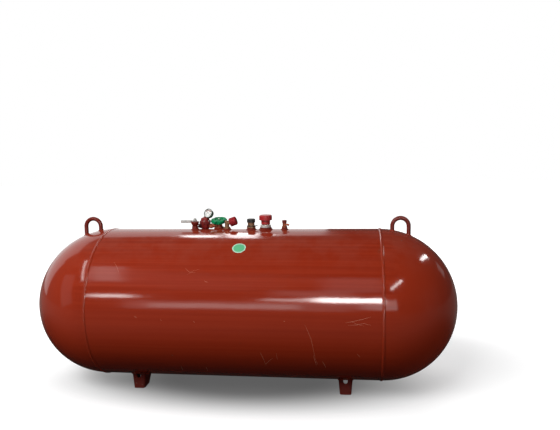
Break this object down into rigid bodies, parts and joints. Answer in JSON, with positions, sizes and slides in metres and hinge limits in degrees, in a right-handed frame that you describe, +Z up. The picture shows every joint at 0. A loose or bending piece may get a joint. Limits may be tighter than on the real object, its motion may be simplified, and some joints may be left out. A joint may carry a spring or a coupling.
{
  "type": "horizontal pressure tank",
  "caption": "Horizontal steel gas tank with hemispherical heads, lifting loops, pressed legs and a row of valves, a regulator and a gauge along its crown.",
  "frame": {"origin": "on the floor under the middle of the tank, between its four feet", "axes": "+X along the tank towards its relief valve's end, +Y to the rear, +Z up"},
  "size_m": [1.74, 0.6148, 0.7294],
  "materials": {
    "tank_paint": "glossy red-brown enamel with rust, scratches and chips",
    "leg_paint": "worn red-brown enamel over dull steel",
    "fitting_paint": "red-brown enamel over forged steel",
    "regulator_paint": "satin red enamel on a casting",
    "brass": "dull brass",
    "lever_steel": "plated steel",
    "collar_steel": "bright plated steel",
    "wheel_green": "moulded green plastic",
    "cap_crimson": "moulded red plastic",
    "cap_black": "moulded black plastic",
    "gauge_rim": "grey-green enamel",
    "dial_white": "white dial face",
    "gauge_glass": "clear lens"
  },
  "bodies": {
    "tank": {"shell_cylinder": "tank_paint", "left_head": "tank_paint", "right_head": "tank_paint", "left_girth_weld": "tank_paint", "right_girth_weld": "tank_paint", "long_seam_weld": "tank_paint", "left_lifting_ring": "fitting_paint", "right_lifting_ring": "fitting_paint", "leg_front_left": "leg_paint", "leg_front_right": "leg_paint", "leg_rear_left": "leg_paint", "leg_rear_right": "leg_paint", "stop_coupling": "fitting_paint", "service_coupling": "fitting_paint", "angle_coupling": "fitting_paint", "fill_coupling": "fitting_paint", "relief_coupling": "fitting_paint", "bleed_coupling": "fitting_paint", "stop_valve_body": "fitting_paint", "service_valve_body": "brass", "service_union_nut": "brass", "regulator_bowl": "regulator_paint", "regulator_cover": "regulator_paint", "regulator_outlet": "regulator_paint", "gauge_case": "gauge_rim", "gauge_dial": "dial_white", "gauge_lens": "gauge_glass", "angle_valve_body": "brass", "angle_valve_cap": "cap_crimson", "fill_valve_body": "brass", "fill_valve_cap": "cap_black", "cap_strap": "cap_black", "relief_valve_body": "brass", "relief_collar": "collar_steel", "relief_rain_cap": "cap_crimson", "bleed_valve_body": "brass", "bleed_valve_knob": "fitting_paint"},
    "lever": {"stop_valve_lever": "lever_steel"},
    "handwheel": {"green_handwheel": "wheel_green"}
  },
  "joints": [
    {"name": "lever_turn", "type": "hinge", "parent": "tank", "child": "lever", "pos_m": [-0.2, 0, 0.682], "axis": [0, 0, 1], "range_deg": [0, 90]},
    {"name": "handwheel_turn", "type": "hinge", "parent": "tank", "child": "handwheel", "pos_m": [-0.104, 0.034, 0.657], "axis": [0, -0.2079, 0.9781], "range_deg": [0, 900]}
  ]
}
